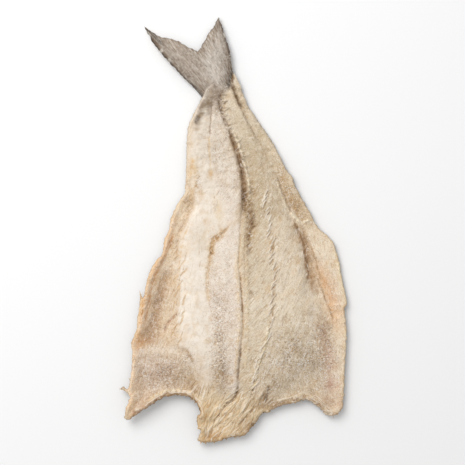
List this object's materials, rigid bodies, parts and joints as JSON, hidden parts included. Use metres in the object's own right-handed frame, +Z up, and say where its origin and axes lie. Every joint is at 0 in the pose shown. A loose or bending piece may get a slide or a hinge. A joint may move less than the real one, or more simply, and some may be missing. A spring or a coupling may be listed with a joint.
{
  "type": "split salted dried cod",
  "caption": "Split, salted and dried cod lying cut side up: two thick loins beside a central groove, thin curled belly flaps and a forked tail fin.",
  "frame": {"origin": "middle of the fish's box, on the surface that it lies on", "axes": "+Z up out of the cut side, +Y along the fish towards the tail fin, +X to the right flap as seen from above"},
  "size_m": [0.3222, 0.6014, 0.0267],
  "materials": {
    "dried_flesh": "matt cream flesh with a fine crust of salt, tan at the edges, and grey skin on the fin and the underside"
  },
  "bodies": {
    "root": {"salt_cod": "dried_flesh"}
  },
  "joints": []
}
